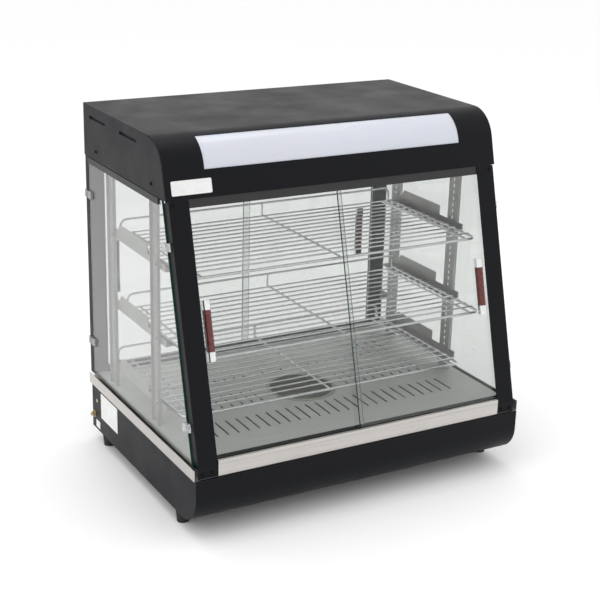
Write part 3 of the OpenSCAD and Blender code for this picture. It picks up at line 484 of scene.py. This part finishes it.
def slot_lip(column, y, length):
    """The raised lip along one slot of the deck, turned up from the slot's right edge."""
    edge = column * DECK_PITCH_MM / 2 - SLOT_GAP_MM
    half = length / 2 - SLOT_GAP_MM
    long_steps, turn_steps = LIP_STEPS
    top, under = [], []
    for along in steps(-1, 1, long_steps):
        rise = LIP_RISE_MM * (1 - along ** LIP_END_POWER)
        for grid, below in ((top, 0), (under, STEEL_T_MM)):
            row = []
            for turn in steps(0, 1, turn_steps):
                height = rise * math.sin(turn * math.pi / 2) - below
                row.append((edge - LIP_REACH_MM * turn, y + along * half, DECK_Z_MM + height))
            grid.append(row)
    return closed_sheet(top, under)


def deck_slots():
    """Column, y and length of every slot in the deck."""
    last = DECK_COLUMNS - 1
    for column in range(-last, last + 1, 2):
        yield column, *LONG_SLOT_MM
        yield column, REAR_ROW_MM, SHORT_SLOT_MM
        if abs(column) >= MIDDLE_COLUMN:
            for y in MIDDLE_ROWS_MM:
                yield column, y, SHORT_SLOT_MM
        if abs(column) >= CORNER_COLUMN:
            for further in CORNER_ROWS_MM:
                yield column, REAR_ROW_MM + further, SHORT_SLOT_MM


def cross_head(seat, facing):
    """A domed screw head with a cross recess, on a seat and facing a direction."""
    axis = Vector(facing).normalized()
    first = axis.cross(ACROSS).normalized()
    second = axis.cross(first)
    turns, rings = HEAD_TURNS, HEAD_RINGS
    arm, reach, depth = CROSS_MM
    points = []
    for ring in range(1, rings + 1):
        radius = HEAD_R_MM * ring / rings
        for turn in range(turns):
            angle = math.tau * turn / turns
            u, v = radius * math.cos(angle), radius * math.sin(angle)
            height = HEAD_T_MM * math.sqrt(1 - (radius / HEAD_R_MM) ** HEAD_DOME_POWER)
            if min(abs(u), abs(v)) < arm and radius < reach:
                height -= depth
            points.append(Vector(seat) + first * u + second * v + axis * height)
    faces = [list(range(turns)), list(range((rings - 1) * turns, rings * turns))]
    for ring in range(rings - 1):
        for turn in range(turns):
            here = ring * turns + turn
            after = ring * turns + (turn + 1) % turns
            faces.append([here, after, after + turns, here + turns])
    return points, faces


def add_screws():
    """Domed heads with cross recesses, which stand for the CAD's plain screws."""
    shells = []
    for seat, facing in SCREWS:
        for side in (-1, 1):
            shells.append(cross_head((side * seat[0], *seat[1:]), (side * facing[0], *facing[1:])))
    heads = add_piece("panel_screw_heads", shells, "screw_black")
    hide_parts("panel_screws")


def add_pieces():
    add_side_louvres()
    lips = [slot_lip(*slot) for slot in deck_slots()]
    add_piece("deck_louvre_hoods", lips, "deck_sheet")
    add_screws()


# ---------- Stage, light and camera ----------

FLOOR_SIZE = 60.0
WORLD_STRENGTH = 1.0
LIGHT_TARGET = (0, 0, 0.3)
LIGHTS = [
    ("overhead", (-0.3, 0.3, 2.6), (2.4, 2.0), 16),
    ("left", (-2.6, -0.2, 1.5), (1.6, 1.8), 7),
    ("right", (2.4, -0.8, 1.3), (1.4, 1.6), 6),
]
LENS_MM = 81.03
CAMERA_PLACE = Vector((-1.1676, -2.0436, 1.1253))
CAMERA_FORWARD = Vector((0.4672, 0.8205, -0.3295))
CAMERA_ROLL = math.radians(1.52)


def add_floor():
    """A wide, plain, pale floor that the case stands on."""
    mesh = bpy.data.meshes.new("floor")
    half = FLOOR_SIZE / 2
    mesh.from_pydata([(-half, -half, 0), (half, -half, 0), (half, half, 0), (-half, half, 0)],
                     [], [(0, 1, 2, 3)])
    floor = bpy.data.objects.new("floor", mesh)
    bpy.context.scene.collection.objects.link(floor)
    mesh.materials.append(pale_floor())


def pale_floor():
    """Matt white paper with the faintest cloudiness."""
    s = Surface("pale_floor", (0.985, 0.985, 0.985), 0.8)
    s.set("Roughness", s.spread(s.noise(grain_mm=200), 0.75, 0.85))
    return s.material


def add_light(name, place, target, size, power):
    """A rectangular area light at a place, aimed at a target."""
    data = bpy.data.lights.new(name, "AREA")
    data.shape = "RECTANGLE"
    data.size, data.size_y = size
    data.energy = power
    lamp = bpy.data.objects.new(name, data)
    bpy.context.scene.collection.objects.link(lamp)
    lamp.location = place
    aim = Vector(target) - Vector(place)
    lamp.rotation_euler = aim.to_track_quat("-Z", "Y").to_euler()


def add_lights():
    """White surroundings, a large soft light overhead and a smaller one on each side."""
    world = bpy.data.worlds.new("studio")
    world.use_nodes = True
    back = world.node_tree.nodes["Background"]
    back.inputs["Color"].default_value = (1, 1, 1, 1)
    back.inputs["Strength"].default_value = WORLD_STRENGTH
    bpy.context.scene.world = world
    for name, place, size, power in LIGHTS:
        add_light(name, place, LIGHT_TARGET, size, power)


def add_camera():
    """The photograph's viewpoint."""
    data = bpy.data.cameras.new("camera")
    data.lens = LENS_MM
    camera = bpy.data.objects.new("camera", data)
    bpy.context.scene.collection.objects.link(camera)
    camera.location = CAMERA_PLACE
    level = CAMERA_FORWARD.to_track_quat("-Z", "Y").to_matrix().to_4x4()
    roll = Matrix.Rotation(CAMERA_ROLL, 4, "Z")
    camera.rotation_euler = (level @ roll).to_euler()
    bpy.context.scene.camera = camera


finish_cad_nodes()
round_edges()
add_pieces()
add_floor()
add_lights()
add_camera()
bpy.context.scene.view_settings.view_transform = "Standard"
